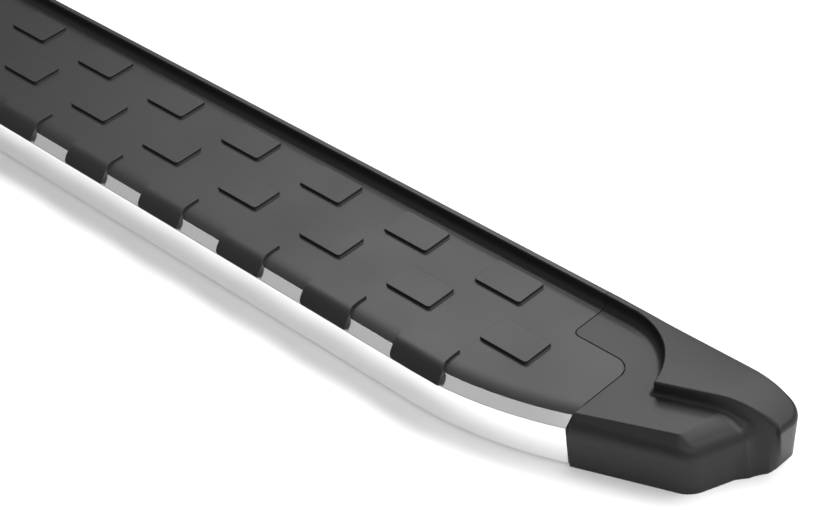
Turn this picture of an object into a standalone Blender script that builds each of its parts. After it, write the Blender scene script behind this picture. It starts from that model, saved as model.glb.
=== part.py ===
"""Running board for a van or pickup: an extruded aluminium beam under a moulded tread cover, with a bright
outer trim, two moulded end caps and loose bolts in the beam's underside channels.

Frame: +X along the board, +Y towards the vehicle, +Z up. The origin is the centre of the bounding box in
plan, on the ground plane that the end caps stand on. Lengths are in metres.

Most places are given as (x, u): u is the distance behind the bright outer face, towards the vehicle.
"""

import math

import bmesh
import bpy
from mathutils import Matrix, Vector

# Driving dimensions of the whole board
WIDTH = 0.1612  # over the tread tabs' lips and the rear rim
TREAD_Z = 0.0523  # walking surface above the ground plane
RIM_Z = 0.0660  # top of the rear rim
LIP_PROUD = 0.0012  # how far the tabs' lips stand out from the bright face
DEPTH = WIDTH - LIP_PROUD  # bright face to rear edge
GAP = 0.0003  # clearance between touching pieces

# Tread pattern
PITCH = 0.1143
COLUMNS = 11  # pads in the rear row; the second row has one more
PAD_LENGTH = 0.0543
PAD_DEPTH = 0.0321
PAD_RISE = 0.0031
PAD_CORNER = 0.0030
REAR_ROW_U = 0.1262
SECOND_ROW_U = 0.0737
TAB_RISE = 0.0026
TAB_REAR_U = 0.0353
TAB_ROLL_U = 0.0186  # where a tab starts to roll down over the trim
TAB_ROLL = 0.0255
TAB_TURN = math.radians(38)
TAB_LIP_DROP = 0.0072  # tread surface down to the tab's lip
TAB_FOOT_U = 0.0023  # where its underside ends above the trim's facet
TAB_ROOT_U = 0.0120  # the trim's crest stays in front of this, also where it bends back
TAB_ENDS = (-0.0235, 0.0350)  # its left and right ends from its centre

# Outer trim
BEND_X = 0.5715  # where the trim starts to bend towards the vehicle
BEND_RADIUS = 0.4136
TRIM_SHEET = 0.0015
TRIM_FOOT = 0.0031  # height of the trim's bottom edge
FACET_DROP = 0.0088  # tread surface down to the bottom of the bevelled facet
FLANGE_U = 0.0240  # how far the top flange reaches under the tread cover
RETURN_U = 0.0185  # how far the bottom return reaches in

# Tread cover
COVER_THICK = 0.0032
COVER_EDGE_U = 0.0093
RIM_INNER_U = 0.1543
RIM_FILLET = 0.0052
SKIRT_U = 0.1560
SKIRT_FOOT = 0.0170
HOOK_U = 0.1510

# Beam
BEAM_FRONT_U = 0.0090
BEAM_FOOT_U = 0.0032
BEAM_REAR_U = 0.1557
BEAM_FLOOR = 0.0200  # underside of the box section
WALL = 0.0022
SLOT_U = (0.0480, 0.1160)  # centres of the two bolt channels
SLOT_NECK = 0.0088
SLOT_ROOM = 0.0144
SLOT_LIP = 0.0026
SLOT_HEIGHT = 0.0076
LAND_U = (0.0600, 0.1040)  # raised land between the channels, where the vehicle's brackets seat
LAND_RISE = 0.0005
LAND_END_X = 0.6900

# End caps
SEAM_X = 0.7250  # where the trim, the beam and the cover end
TONGUE_X = 0.6584  # inner end of the cap's tongue and rim
TONGUE_U = 0.1117
TONGUE_INNER_RADIUS = 0.007
TONGUE_OUTER_RADIUS = 0.016
ARC_CENTRE = (0.6901, 0.0819)
ARC_RADIUS = RIM_INNER_U - ARC_CENTRE[1]
ARC_END = math.radians(11.8)
CAP_WALL = 0.0032
CAP_FLANGE = 0.0031
ROLL_X = 0.8120  # where the cap's top starts to roll down
ROLL_SPREAD = 0.150

# Fasteners
STATIONS = (-0.525, -0.175, 0.175, 0.525)
RIVETS = 8
RIVET_PITCH = 0.155
RIVET_U = 0.0138
CAP_SCREW_X = 0.7110
CAP_SCREW_U = (0.0690, 0.0950, 0.1400)
BOLT_RADIUS = 0.0040
HOLE_CLEARANCE = 0.0003

FACE_Y = -WIDTH / 2 + LIP_PROUD

for old in list(bpy.data.objects):
    bpy.data.objects.remove(old, do_unlink=True)


def collection(name):
    """A new collection in the scene."""
    made = bpy.data.collections.new(name)
    bpy.context.scene.collection.children.link(made)
    return made


BOARD = collection("running_board")
CUTTERS = collection("cutters")


def material(name, colour, roughness, metallic):
    """A Principled material."""
    made = bpy.data.materials.new(name)
    made.use_nodes = True
    shader = made.node_tree.nodes["Principled BSDF"]
    shader.inputs["Base Color"].default_value = (*colour, 1.0)
    shader.inputs["Roughness"].default_value = roughness
    shader.inputs["Metallic"].default_value = metallic
    return made


COVER_PLASTIC = material("tread_plastic", (0.045, 0.045, 0.047), 0.55, 0.0)
CAP_PLASTIC = material("cap_plastic", (0.040, 0.040, 0.042), 0.50, 0.0)
BRIGHT_TRIM = material("bright_trim", (0.86, 0.86, 0.87), 0.28, 1.0)
MILL_ALUMINIUM = material("mill_aluminium", (0.62, 0.63, 0.65), 0.42, 1.0)
ZINC_STEEL = material("zinc_steel", (0.55, 0.56, 0.58), 0.38, 1.0)


# Outlines

def arc(centre, radius, start, end, steps):
    """Points along an arc, both ends included; angles in radians."""
    points = []
    for step in range(steps + 1):
        angle = start + (end - start) * step / steps
        points.append((centre[0] + radius * math.cos(angle), centre[1] + radius * math.sin(angle)))
    return points


def rounded(corners, steps=4):
    """A closed outline from (x, u, radius) corners; a zero radius stays one sharp point."""
    points = []
    count = len(corners)
    for index, (x, u, radius) in enumerate(corners):
        here = Vector((x, u))
        if radius == 0:
            points.append((x, u))
            continue
        before = (Vector(corners[index - 1][:2]) - here).normalized()
        after = (Vector(corners[(index + 1) % count][:2]) - here).normalized()
        half = before.angle(after) / 2
        reach = radius / math.tan(half)
        centre = here + (before + after).normalized() * radius / math.sin(half)
        first = here + before * reach - centre
        last = here + after * reach - centre
        start = math.atan2(first.y, first.x)
        turn = (math.atan2(last.y, last.x) - start + math.pi) % (2 * math.pi) - math.pi
        points += arc(centre, radius, start, start + turn, steps)
    return points


def face_u(x):
    """How far the bright face has bent towards the vehicle at x."""
    past = abs(x) - BEND_X
    if past <= 0:
        return 0.0
    return BEND_RADIUS - math.sqrt(BEND_RADIUS ** 2 - past ** 2)


def front_line(offset, end_x, steps=10):
    """The trim's plan line moved in by offset, from -end_x to end_x, with its bends as arcs."""
    radius = BEND_RADIUS - offset
    angle = math.asin((end_x - BEND_X) / radius)
    right = arc((BEND_X, BEND_RADIUS), radius, -math.pi / 2, -math.pi / 2 + angle, steps)
    left = [(-x, u) for x, u in reversed(right)]
    return left + right


# Solids

def add(name, mesh, paint, matrix=None, group=None):
    """An object in the board's collection, or in another group."""
    made = bpy.data.objects.new(name, mesh)
    if matrix is not None:
        made.matrix_world = matrix
    if paint is not None and not mesh.materials:
        mesh.materials.append(paint)
    (group or BOARD).objects.link(made)
    return made


def curve_outline(name, outlines, half_thickness):
    """A filled flat curve of closed outlines, extruded both ways."""
    curve = bpy.data.curves.new(name, "CURVE")
    curve.dimensions = "2D"
    curve.fill_mode = "BOTH"
    curve.extrude = half_thickness
    for outline in outlines:
        spline = curve.splines.new("POLY")
        spline.points.add(len(outline) - 1)
        for point, place in zip(spline.points, outline):
            point.co = (place[0], place[1], 0.0, 1.0)
        spline.use_cyclic_u = True
    return curve


def mesh_of(curve, matrix):
    """A closed mesh of a curve, with its caps welded and its place baked in."""
    holder = bpy.data.objects.new("outline", curve)
    CUTTERS.objects.link(holder)
    bpy.context.view_layer.update()
    seen = holder.evaluated_get(bpy.context.evaluated_depsgraph_get())
    mesh = bpy.data.meshes.new_from_object(seen)
    bpy.data.objects.remove(holder, do_unlink=True)
    bpy.data.curves.remove(curve)
    shape = bmesh.new()
    shape.from_mesh(mesh)
    bmesh.ops.transform(shape, matrix=matrix, verts=shape.verts)
    close(shape, mesh)
    return mesh


def close(shape, mesh):
    """Weld a bmesh, turn its faces outwards and store it."""
    bmesh.ops.remove_doubles(shape, verts=shape.verts, dist=1e-6)
    bmesh.ops.recalc_face_normals(shape, faces=shape.faces)
    shape.to_mesh(mesh)
    shape.free()
    mesh.shade_smooth()
    mesh.set_sharp_from_angle(angle=math.radians(32))


def slab(name, outlines, low, high):
    """Plan outlines in (x, u), extruded from height low to height high."""
    curve = curve_outline(name, outlines, (high - low) / 2)
    return mesh_of(curve, Matrix.Translation((0, FACE_Y, (low + high) / 2)))


def extrusion(name, outlines, start, end):
    """Section outlines in (u, z), extruded along X from start to end."""
    curve = curve_outline(name, outlines, (end - start) / 2)
    axes = Matrix(((0, 0, 1, (start + end) / 2), (1, 0, 0, FACE_Y), (0, 1, 0, 0), (0, 0, 0, 1)))
    return mesh_of(curve, axes)


def loft(name, rings):
    """A closed solid through rings of equally many (x, u, z) points."""
    shape = bmesh.new()
    loops = [[shape.verts.new((x, FACE_Y + u, z)) for x, u, z in ring] for ring in rings]
    count = len(loops[0])
    for lower, upper in zip(loops, loops[1:]):
        for index in range(count):
            follow = (index + 1) % count
            shape.faces.new((lower[index], lower[follow], upper[follow], upper[index]))
    shape.faces.new(loops[0])
    shape.faces.new(loops[-1])
    mesh = bpy.data.meshes.new(name)
    close(shape, mesh)
    return mesh


def boxes(name, places):
    """One mesh of separate boxes: (low corner, high corner, radius of the upright edges), in (x, u, z)."""
    shape = bmesh.new()
    for low, high, radius in places:
        made = bmesh.ops.create_cube(shape, size=1.0)["verts"]
        size = [top - bottom for bottom, top in zip(low, high)]
        middle = [(top + bottom) / 2 for bottom, top in zip(low, high)]
        move = Matrix.Translation((middle[0], FACE_Y + middle[1], middle[2])) @ Matrix.Diagonal((*size, 1))
        bmesh.ops.transform(shape, matrix=move, verts=made)
        if radius:
            edges = {edge for vert in made for edge in vert.link_edges}
            upright = [edge for edge in edges if abs(edge.verts[0].co.z - edge.verts[1].co.z) > 1e-5]
            bmesh.ops.bevel(shape, geom=upright, offset=radius, segments=2, profile=0.5, affect="EDGES")
    mesh = bpy.data.meshes.new(name)
    close(shape, mesh)
    return mesh


def rods(name, places, segments=16):
    """One mesh of separate upright cylinders, each (x, u, radius, low, high)."""
    shape = bmesh.new()
    for x, u, radius, low, high in places:
        middle = Matrix.Translation((x, FACE_Y + u, (low + high) / 2))
        bmesh.ops.create_cone(shape, cap_ends=True, segments=segments, radius1=radius, radius2=radius,
                              depth=high - low, matrix=middle)
    mesh = bpy.data.meshes.new(name)
    close(shape, mesh)
    return mesh


def boolean(target, mesh, operation, solver="EXACT"):
    """Join a helper mesh to a piece, or cut it away, with a live Boolean."""
    helper = add(f"{target.name}_{mesh.name}", mesh, None, group=CUTTERS)
    helper.hide_render = True
    helper.display_type = "WIRE"
    change = target.modifiers.new(mesh.name, "BOOLEAN")
    change.operation = operation
    change.object = helper
    change.solver = solver


# Beam: one extrusion with six chambers and two bolt channels, its front corners cut back along the trim

def channel(centre):
    """The open channel's corners, from its front lip to its rear lip."""
    neck = SLOT_NECK / 2
    room = SLOT_ROOM / 2
    floor = BEAM_FLOOR
    shelf = floor + SLOT_LIP
    roof = shelf + SLOT_HEIGHT
    return [(centre - neck, floor), (centre - neck, shelf), (centre - room, shelf), (centre - room, roof),
            (centre + room, roof), (centre + room, shelf), (centre + neck, shelf), (centre + neck, floor)]


def rectangle(low_u, low_z, high_u, high_z):
    """A rectangle of the section."""
    return [(low_u, low_z), (high_u, low_z), (high_u, high_z), (low_u, high_z)]


def beam():
    """The load-bearing extrusion."""
    top = TREAD_Z - COVER_THICK - GAP
    leg = BEAM_FRONT_U + WALL
    foot = TRIM_FOOT + TRIM_SHEET + GAP
    outer = [(BEAM_FRONT_U, foot + WALL), (BEAM_FOOT_U, foot + WALL), (BEAM_FOOT_U, foot),
             (RETURN_U, foot), (RETURN_U, foot + WALL), (leg, foot + WALL), (leg, BEAM_FLOOR)]
    land = BEAM_FLOOR - LAND_RISE
    outer += channel(SLOT_U[0])
    outer += [(LAND_U[0], BEAM_FLOOR), (LAND_U[0], land), (LAND_U[1], land), (LAND_U[1], BEAM_FLOOR)]
    outer += channel(SLOT_U[1])
    outer += [(BEAM_REAR_U, BEAM_FLOOR), (BEAM_REAR_U, top), (BEAM_FRONT_U, top)]
    floor = BEAM_FLOOR + WALL
    ceiling = top - 0.0032
    side = SLOT_ROOM / 2 + WALL
    middle = sum(SLOT_U) / 2
    half_web = WALL / 2
    chambers = [
        rectangle(leg, floor, SLOT_U[0] - side, ceiling),
        rectangle(SLOT_U[0] + side, floor, middle - half_web, ceiling),
        rectangle(middle + half_web, floor, SLOT_U[1] - side, ceiling),
        rectangle(SLOT_U[1] + side, floor, BEAM_REAR_U - WALL, ceiling),
    ]
    for centre in SLOT_U:
        roof = BEAM_FLOOR + SLOT_LIP + SLOT_HEIGHT + WALL
        chambers.append(rectangle(centre - SLOT_ROOM / 2, roof, centre + SLOT_ROOM / 2, ceiling))
    made = add("main_beam", extrusion("main_beam", [outer, *chambers], -SEAM_X, SEAM_X), MILL_ALUMINIUM)
    far = [(SEAM_X + 0.02, -0.05), (-SEAM_X - 0.02, -0.05)]
    wide = SEAM_X + 0.02
    # EXACT leaves open edges where these cuts cross the long thin triangles of the end faces
    toe = front_line(TRIM_SHEET + GAP, wide) + far
    boolean(made, slab("toe_corners", [toe], 0.0, foot + WALL + 0.0005), "DIFFERENCE", "MANIFOLD")
    front = front_line(BEAM_FRONT_U - GAP, wide) + far
    boolean(made, slab("front_corners", [front], foot + WALL, TREAD_Z), "DIFFERENCE", "MANIFOLD")
    rebate = front_line(FLANGE_U + 0.0010, wide) + far
    rebate_floor = TREAD_Z - COVER_THICK - GAP - TRIM_SHEET - GAP
    boolean(made, slab("flange_rebate", [rebate], rebate_floor, TREAD_Z), "DIFFERENCE", "MANIFOLD")
    ends = []
    for low_x, high_x in ((-wide, -LAND_END_X), (LAND_END_X, wide)):
        ends.append(((low_x, LAND_U[0] - 0.001, land - 0.001), (high_x, LAND_U[1] + 0.001, BEAM_FLOOR), 0))
    boolean(made, boxes("land_ends", ends), "DIFFERENCE", "MANIFOLD")
    holes = [(x, RIVET_U, 0.0020 + HOLE_CLEARANCE, 0.0, foot + 0.004) for x in rivet_places()]
    for side_sign in (-1, 1):
        holes += [(side_sign * CAP_SCREW_X, u, 0.0020 + HOLE_CLEARANCE, 0.010, floor + 0.002)
                  for u in CAP_SCREW_U]
    boolean(made, rods("holes", holes, 12), "DIFFERENCE", "MANIFOLD")
    return made


def rivet_places():
    """Where the trim's rivets are along the board."""
    return [(index - (RIVETS - 1) / 2) * RIVET_PITCH for index in range(RIVETS)]


# Outer trim: one bent strip with a bevelled facet, a top flange and a bottom return

def trim():
    """The bright strip along the outer edge, swept along its plan line."""
    top = TREAD_Z - COVER_THICK - GAP
    crest = TREAD_Z - 0.0016
    knee = TREAD_Z - FACET_DROP
    section = [
        (FLANGE_U, top), (0.0094, top), (0.0086, crest), (0.0014, knee), (0.0, knee - 0.0005),
        (0.0, TRIM_FOOT), (RETURN_U, TRIM_FOOT), (RETURN_U, TRIM_FOOT + TRIM_SHEET),
        (TRIM_SHEET, TRIM_FOOT + TRIM_SHEET), (TRIM_SHEET, knee - 0.0019), (0.0073, top - TRIM_SHEET),
        (FLANGE_U, top - TRIM_SHEET),
    ]
    rings = []
    for x, u in front_line(0.0, SEAM_X + 0.012, 12):
        past = math.copysign(max(abs(x) - BEND_X, 0.0), x)
        angle = math.asin(past / BEND_RADIUS)
        rings.append([(x - away * math.sin(angle), u + away * math.cos(angle), z) for away, z in section])
    made = add("outer_trim", loft("outer_trim", rings), BRIGHT_TRIM)
    ends = []
    for low_x, high_x in ((-SEAM_X - 0.05, -SEAM_X + GAP), (SEAM_X - GAP, SEAM_X + 0.05)):
        ends.append(((low_x, -0.05, -0.01), (high_x, 0.15, 0.10), 0))
    boolean(made, boxes("square_ends", ends), "DIFFERENCE")
    holes = [(x, RIVET_U, 0.0020 + HOLE_CLEARANCE, 0.0, 0.008) for x in rivet_places()]
    boolean(made, rods("rivet_holes", holes, 12), "DIFFERENCE")
    return made


# Tread cover: one moulding with raised pads, tabs over the trim and a rear rim that hooks under the beam

def tab_section():
    """The tab's section: a raised step that rolls over the trim's facet and ends above its foot."""
    rise = TREAD_Z + TAB_RISE
    roll = arc((TAB_ROLL_U, rise - TAB_ROLL), TAB_ROLL, math.pi / 2, math.pi / 2 + TAB_TURN, 4)
    outer = [(TAB_REAR_U, rise), *roll, (-LIP_PROUD, TREAD_Z - TAB_LIP_DROP),
             (-LIP_PROUD + 0.0003, TREAD_Z - TAB_LIP_DROP - 0.0003)]
    crest_z = TREAD_Z - 0.0012
    sunk = TREAD_Z - COVER_THICK
    inner = [(TAB_FOOT_U, TREAD_Z - TAB_LIP_DROP - 0.0003), (0.0084, crest_z), (TAB_ROOT_U, crest_z),
             (TAB_ROOT_U, sunk), (TAB_REAR_U, sunk)]
    return outer + inner


def cover():
    """The black moulded tread."""
    edge_x = SEAM_X - GAP
    notch_x = TONGUE_X - GAP
    notch_u = TONGUE_U - GAP
    right = rounded([(edge_x, notch_u, TONGUE_OUTER_RADIUS), (notch_x, notch_u, TONGUE_INNER_RADIUS),
                     (notch_x, SKIRT_U, 0), (0.0, SKIRT_U, 0), (0.0, 0.050, 0), (edge_x, 0.050, 0)])
    right = right[:-3]
    left = [(-x, u) for x, u in reversed(right)]
    front = [point for point in front_line(COVER_EDGE_U, edge_x) if abs(point[0]) <= edge_x + 1e-6]
    outline = front + right + left
    plate = slab("tread_cover", [outline], TREAD_Z - COVER_THICK, TREAD_Z)
    made = add("tread_cover", plate, COVER_PLASTIC)
    fillet = arc((RIM_INNER_U - RIM_FILLET, TREAD_Z + RIM_FILLET), RIM_FILLET, -math.pi / 2, 0.0, 3)
    sunk = TREAD_Z - COVER_THICK
    rim = [(RIM_INNER_U - RIM_FILLET, sunk), *fillet, (RIM_INNER_U, RIM_Z - 0.001),
           (RIM_INNER_U + 0.001, RIM_Z), (DEPTH - 0.0015, RIM_Z), (DEPTH, RIM_Z - 0.0015),
           (DEPTH, SKIRT_FOOT), (HOOK_U, SKIRT_FOOT), (HOOK_U, BEAM_FLOOR - GAP),
           (SKIRT_U, BEAM_FLOOR - GAP), (SKIRT_U, sunk)]
    boolean(made, extrusion("rear_rim", [rim], -notch_x, notch_x), "UNION")
    pads = []
    half = Vector((PAD_LENGTH / 2, PAD_DEPTH / 2))
    low = TREAD_Z - 0.001
    for row_u, count in ((REAR_ROW_U, COLUMNS), (SECOND_ROW_U, COLUMNS + 1)):
        for index in range(count):
            x = (index - (count - 1) / 2) * PITCH
            pads.append(((x - half.x, row_u - half.y, low), (x + half.x, row_u + half.y, TREAD_Z + PAD_RISE),
                         PAD_CORNER))
    boolean(made, boxes("pads", pads), "UNION")
    for index in range(COLUMNS):
        x = (index - (COLUMNS - 1) / 2) * PITCH
        tab = extrusion(f"tab_{index + 1}", [tab_section()], x + TAB_ENDS[0], x + TAB_ENDS[1])
        boolean(made, tab, "UNION")
    return made


# End caps: hollow mouldings, open underneath, with a tongue over the beam and a flange under it

def roll_drop(x):
    """How far the cap's top has rolled down at x."""
    past = max(x - ROLL_X, 0.0)
    return past ** 2 / ROLL_SPREAD


def lobe_rings():
    """The cap's rear body: its outline at the ground, and at rim height before the top is rolled off."""
    back = SEAM_X + GAP
    arc_start = math.acos((back - ARC_CENTRE[0]) / ARC_RADIUS)
    sweep = arc(ARC_CENTRE, ARC_RADIUS, arc_start, ARC_END, 8)
    low_corner = rounded([(0.8561, 0.1387, 0), (0.8561, DEPTH, 0.009), (back, DEPTH, 0)], 5)
    high_corner = rounded([(0.8672, 0.1240, 0), (0.8692, DEPTH, 0.018), (back, DEPTH, 0)], 5)
    low = sweep + [(0.8150, 0.1040), (0.8429, 0.1114), (0.8492, 0.1169), (0.8549, 0.1244),
                    (0.8562, 0.1325)] + low_corner
    high = sweep + [(0.8153, 0.1179), (0.8359, 0.1253), (0.8451, 0.1281), (0.8531, 0.1294),
                    (0.8601, 0.1279)] + high_corner
    return [[(x, u, 0.0) for x, u in low], [(x, u, RIM_Z) for x, u in high]]


def shelf_rings():
    """The cap's front body: an upright wall, a small ledge and a slope up to the flat shelf."""
    back = SEAM_X + GAP
    start_u = face_u(back)
    wall = rounded([(back, start_u, 0), (0.8235, 0.0656, 0.025), (0.8429, 0.1114, 0), (0.8360, 0.1350, 0),
                    (back, 0.1350, 0)], 5)
    groove = rounded([(back, start_u + 0.0014, 0), (0.8222, 0.0665, 0.025), (0.8416, 0.1121, 0),
                      (0.8350, 0.1350, 0), (back, 0.1350, 0)], 5)
    shelf = rounded([(back, 0.0401, 0), (0.8065, 0.0733, 0.004), (0.8228, 0.1095, 0), (0.8290, 0.1350, 0),
                     (back, 0.1350, 0)], 5)
    levels = [(wall, 0.0), (wall, TREAD_Z - 0.0100), (groove, TREAD_Z - 0.0092), (shelf, TREAD_Z)]
    return [[(x, u, z) for x, u in outline] for outline, z in levels]


def right_cap():
    """The right-hand end cap."""
    back = SEAM_X + GAP
    sunk = TREAD_Z - COVER_THICK
    root = back + 0.012
    made = add("end_cap_right", loft("end_cap_right", shelf_rings()), CAP_PLASTIC)
    lobe = add("end_cap_lobe", loft("end_cap_lobe", lobe_rings()), None, group=CUTTERS)
    lobe.hide_render = True
    lobe.display_type = "WIRE"
    roll = [(0.790, RIM_Z + 0.03)]
    for step in range(9):
        x = ROLL_X + 0.060 * step / 8
        roll.append((x, RIM_Z - roll_drop(x)))
    roll.append((0.872, RIM_Z + 0.03))
    upright = Matrix(((1, 0, 0, 0), (0, 0, -1, FACE_Y + 0.13), (0, 1, 0, 0), (0, 0, 0, 1)))
    boolean(lobe, mesh_of(curve_outline("roll", [roll], 0.06), upright), "DIFFERENCE")
    union = made.modifiers.new("lobe", "BOOLEAN")
    union.operation = "UNION"
    union.object = lobe
    union.solver = "EXACT"
    tongue = rounded([(TONGUE_X, TONGUE_U, TONGUE_INNER_RADIUS), (back, TONGUE_U, TONGUE_OUTER_RADIUS),
                      (back, 0.090, 0), (root, 0.090, 0), (root, SKIRT_U + 0.001, 0),
                      (TONGUE_X, SKIRT_U + 0.001, 0)])
    boolean(made, slab("tongue", [tongue], sunk, TREAD_Z), "UNION")
    arc_start = math.acos((root - ARC_CENTRE[0]) / ARC_RADIUS)
    rear = rectangle(SKIRT_U, SKIRT_FOOT, DEPTH, RIM_Z)
    boolean(made, extrusion("rear_wall", [rear], TONGUE_X, root - 0.002), "UNION")
    rim = [(TONGUE_X, RIM_INNER_U), *arc(ARC_CENTRE, ARC_RADIUS, math.pi / 2, arc_start, 6),
           (root, SKIRT_U + 0.001), (TONGUE_X, SKIRT_U + 0.001)]
    boolean(made, slab("rim", [rim], sunk + 0.001, RIM_Z), "UNION")
    under = BEAM_FLOOR - GAP
    flange = ((0.698, 0.062, under - CAP_FLANGE), (root, 0.148, under), 0)
    boolean(made, boxes("flange", [flange]), "UNION")
    inside = back + CAP_WALL
    hollow = [(inside, 0.0345), (0.8190, 0.0700), (0.8365, 0.1125), (0.8350, 0.1210), (0.8400, 0.1250),
              (0.8470, 0.1285), (0.8520, 0.1360), (0.8520, 0.1480), (0.8450, DEPTH - CAP_WALL),
              (inside, DEPTH - CAP_WALL)]
    boolean(made, slab("hollow", [hollow], -0.01, 0.0380), "DIFFERENCE")
    pocket = [(inside, 0.1480), (0.7450, 0.1345), (0.7600, 0.1150), (0.7660, 0.1050), (0.8150, 0.1215),
              (0.8300, 0.1270), (0.8300, DEPTH - CAP_WALL), (inside, DEPTH - CAP_WALL)]
    boolean(made, slab("pocket", [pocket], 0.0370, 0.0605), "DIFFERENCE")
    holes = [(CAP_SCREW_X, u, 0.0020 + HOLE_CLEARANCE, 0.010, 0.025) for u in CAP_SCREW_U]
    boolean(made, rods("screw_holes", holes, 12), "DIFFERENCE")
    return made


def left_cap(right):
    """The left-hand cap, the right-hand one's mirror image."""
    bpy.context.view_layer.update()
    seen = right.evaluated_get(bpy.context.evaluated_depsgraph_get())
    mesh = bpy.data.meshes.new_from_object(seen)
    shape = bmesh.new()
    shape.from_mesh(mesh)
    bmesh.ops.scale(shape, vec=(-1, 1, 1), verts=shape.verts)
    close(shape, mesh)
    return add("end_cap_left", mesh, CAP_PLASTIC)


# Fasteners, each its own object; alike ones share a mesh

def turned(name, profile, steps=16):
    """A turned solid about +Z from an open (radius, z) profile that runs down its outer side."""
    mesh = bpy.data.meshes.new(name)
    shape = bmesh.new()
    verts = [shape.verts.new((radius, 0.0, z)) for radius, z in profile]
    for first, second in zip(verts, verts[1:]):
        shape.edges.new((first, second))
    shape.to_mesh(mesh)
    shape.free()
    holder = bpy.data.objects.new(name, mesh)
    CUTTERS.objects.link(holder)
    spin = holder.modifiers.new("spin", "SCREW")
    spin.steps = steps
    spin.render_steps = steps
    spin.use_merge_vertices = True
    spin.merge_threshold = 0.00001
    bpy.context.view_layer.update()
    seen = holder.evaluated_get(bpy.context.evaluated_depsgraph_get())
    solid = bpy.data.meshes.new_from_object(seen)
    bpy.data.objects.remove(holder, do_unlink=True)
    shape = bmesh.new()
    shape.from_mesh(solid)
    close(shape, solid)
    solid.name = name
    return solid


def prism(name, across_flats, low, high, bore=0.0):
    """A hexagonal prism about +Z with its flats facing +Y and -Y, bored through if asked."""
    radius = across_flats / math.sqrt(3)
    corners = [(radius * math.cos(math.radians(60 * step)), radius * math.sin(math.radians(60 * step)))
               for step in range(6)]
    outlines = [corners]
    if bore:
        outlines.append(arc((0, 0), bore, 0.0, 2 * math.pi * 15 / 16, 15))
    curve = curve_outline(name, outlines, (high - low) / 2)
    return mesh_of(curve, Matrix.Translation((0, 0, (low + high) / 2)))


def bolt_mesh():
    """A hexagon-head bolt, origin on its axis under the head, shank downwards."""
    shank = turned("bolt_shank", [(0, 0.001), (BOLT_RADIUS, 0.001), (BOLT_RADIUS, -0.0152),
                                  (BOLT_RADIUS - 0.0008, -0.0160), (0, -0.0160)])
    head = add("bolt_head", prism("bolt", 0.0130, 0.0, 0.0053), ZINC_STEEL)
    helper = add("bolt_shank", shank, None, group=CUTTERS)
    join = head.modifiers.new("shank", "BOOLEAN")
    join.operation = "UNION"
    join.object = helper
    bpy.context.view_layer.update()
    seen = head.evaluated_get(bpy.context.evaluated_depsgraph_get())
    mesh = bpy.data.meshes.new_from_object(seen)
    bpy.data.objects.remove(head, do_unlink=True)
    bpy.data.objects.remove(helper, do_unlink=True)
    return mesh


def at(x, u, z):
    """A place in the board's frame."""
    return Matrix.Translation((x, FACE_Y + u, z))


def fasteners():
    """Bolts, washers and nuts in the channels, rivets in the trim, screws in the caps."""
    bolt = bolt_mesh()
    bore = BOLT_RADIUS + HOLE_CLEARANCE
    washer = turned("washer", [(bore, 0.0), (0.0080, 0.0), (0.0080, -0.0016), (bore, -0.0016), (bore, 0.0)])
    nut = prism("nut", 0.0130, -0.0068, 0.0, bore)
    head_z = BEAM_FLOOR + SLOT_LIP + GAP
    washer_z = BEAM_FLOOR - GAP
    nut_z = washer_z - 0.0016 - GAP
    for row, u in (("front", SLOT_U[0]), ("rear", SLOT_U[1])):
        for number, x in enumerate(STATIONS, 1):
            add(f"channel_bolt_{row}_{number}", bolt, ZINC_STEEL, at(x, u, head_z))
            add(f"channel_washer_{row}_{number}", washer, ZINC_STEEL, at(x, u, washer_z))
            add(f"channel_nut_{row}_{number}", nut, ZINC_STEEL, at(x, u, nut_z))
    dome = [(0, 0.0058), (0.0020, 0.0058), (0.0020, 0.0), (0.0040, 0.0), (0.0038, -0.0006),
            (0.0026, -0.0011), (0, -0.0012)]
    rivet = turned("rivet", dome, 12)
    for number, x in enumerate(rivet_places(), 1):
        add(f"trim_rivet_{number}", rivet, MILL_ALUMINIUM, at(x, RIVET_U, TRIM_FOOT - GAP))
    pan = [(0, 0.0120), (0.0020, 0.0105), (0.0020, 0.0), (0.0040, 0.0), (0.0040, -0.0014),
           (0.0030, -0.0024), (0, -0.0026)]
    screw = turned("cap_screw", pan, 12)
    screw_z = BEAM_FLOOR - GAP - CAP_FLANGE - GAP
    for end, side in (("right", 1), ("left", -1)):
        for number, u in enumerate(CAP_SCREW_U, 1):
            add(f"cap_screw_{end}_{number}", screw, ZINC_STEEL, at(side * CAP_SCREW_X, u, screw_z))


beam()
trim()
cover()
left_cap(right_cap())
fasteners()
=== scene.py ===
"""Looks of the running board: fine meshes, materials, studio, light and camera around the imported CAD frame.

Frame: +X along the board, +Y towards the vehicle, +Z up, in metres. Most places are given as (x, u, z), where
u is the distance behind the bright outer face, towards the vehicle.
"""

import math

import bmesh
import bpy
import numpy as np
from mathutils import Matrix, Vector


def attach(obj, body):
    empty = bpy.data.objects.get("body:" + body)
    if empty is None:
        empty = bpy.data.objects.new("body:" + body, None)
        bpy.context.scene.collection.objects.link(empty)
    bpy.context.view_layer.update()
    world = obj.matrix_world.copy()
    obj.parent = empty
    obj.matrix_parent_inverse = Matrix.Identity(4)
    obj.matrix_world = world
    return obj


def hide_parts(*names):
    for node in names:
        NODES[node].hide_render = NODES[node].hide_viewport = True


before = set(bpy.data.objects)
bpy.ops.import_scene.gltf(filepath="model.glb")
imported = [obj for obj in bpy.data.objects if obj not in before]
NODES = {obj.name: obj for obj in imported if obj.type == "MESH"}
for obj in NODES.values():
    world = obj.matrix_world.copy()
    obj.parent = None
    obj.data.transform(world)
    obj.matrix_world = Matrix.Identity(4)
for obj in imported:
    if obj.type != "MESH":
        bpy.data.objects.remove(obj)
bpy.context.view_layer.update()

# Driving dimensions
WIDTH = 0.1612  # over the tread tabs' lips and the rear rim
TREAD_Z = 0.0523  # walking surface above the ground plane
RIM_Z = 0.0660  # top of the rear rim
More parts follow.
